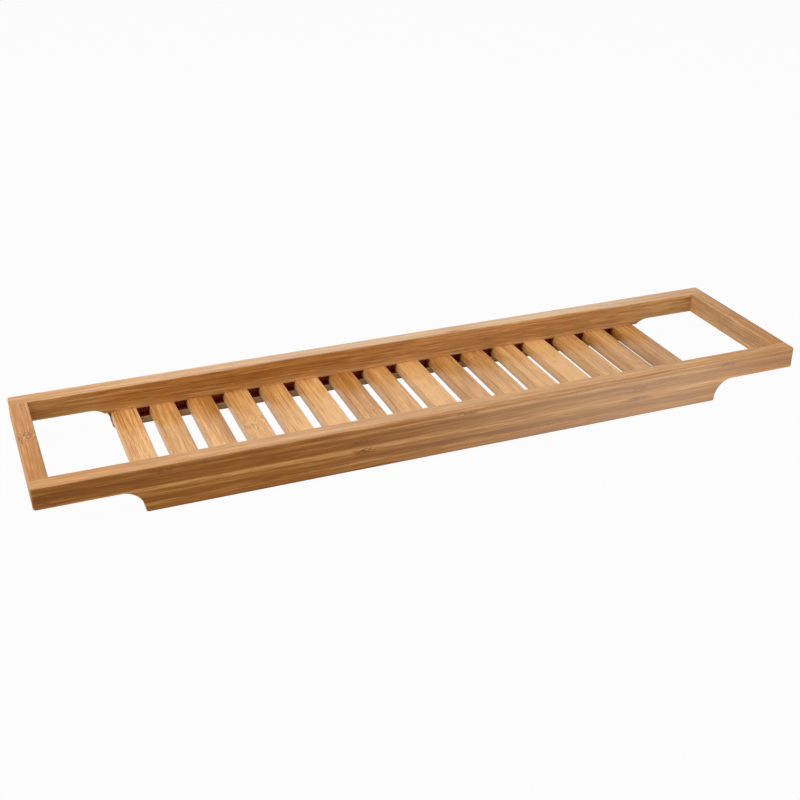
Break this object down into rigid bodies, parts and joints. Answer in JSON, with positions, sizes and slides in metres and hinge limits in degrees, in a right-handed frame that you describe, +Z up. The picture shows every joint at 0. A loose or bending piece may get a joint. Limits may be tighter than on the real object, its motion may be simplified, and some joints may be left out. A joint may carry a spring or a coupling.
{
  "type": "bath caddy",
  "caption": "Slatted wooden bath caddy: a long narrow tray with stepped side rails, whose raised ends rest on the rims of a bath.",
  "frame": {"origin": "centre of the overall length and width, on the plane of the undersides of the two side rails, which the caddy stands on", "axes": "+X along the caddy, +Y across it from the front rail to the rear rail, +Z up"},
  "size_m": [0.64, 0.15, 0.036],
  "materials": {
    "side_bamboo": "satin lacquered laminated bamboo, caramel",
    "end_bamboo": "satin lacquered laminated bamboo",
    "slat_bamboo": "satin lacquered laminated bamboo, pale",
    "dowel_beech": "bare turned wood, hidden in its hole"
  },
  "bodies": {
    "root": {"front_rail": "side_bamboo", "rear_rail": "side_bamboo", "left_end_rail": "end_bamboo", "right_end_rail": "end_bamboo", "slat_01": "slat_bamboo", "slat_02": "slat_bamboo", "slat_03": "slat_bamboo", "slat_04": "slat_bamboo", "slat_05": "slat_bamboo", "slat_06": "slat_bamboo", "slat_07": "slat_bamboo", "slat_08": "slat_bamboo", "slat_09": "slat_bamboo", "slat_10": "slat_bamboo", "slat_11": "slat_bamboo", "slat_12": "slat_bamboo", "slat_13": "slat_bamboo", "slat_14": "slat_bamboo", "slat_15": "slat_bamboo", "slat_16": "slat_bamboo", "dowel_front_left_lower": "dowel_beech", "dowel_front_left_upper": "dowel_beech", "dowel_front_right_lower": "dowel_beech", "dowel_front_right_upper": "dowel_beech", "dowel_rear_left_lower": "dowel_beech", "dowel_rear_left_upper": "dowel_beech", "dowel_rear_right_lower": "dowel_beech", "dowel_rear_right_upper": "dowel_beech"}
  },
  "joints": []
}
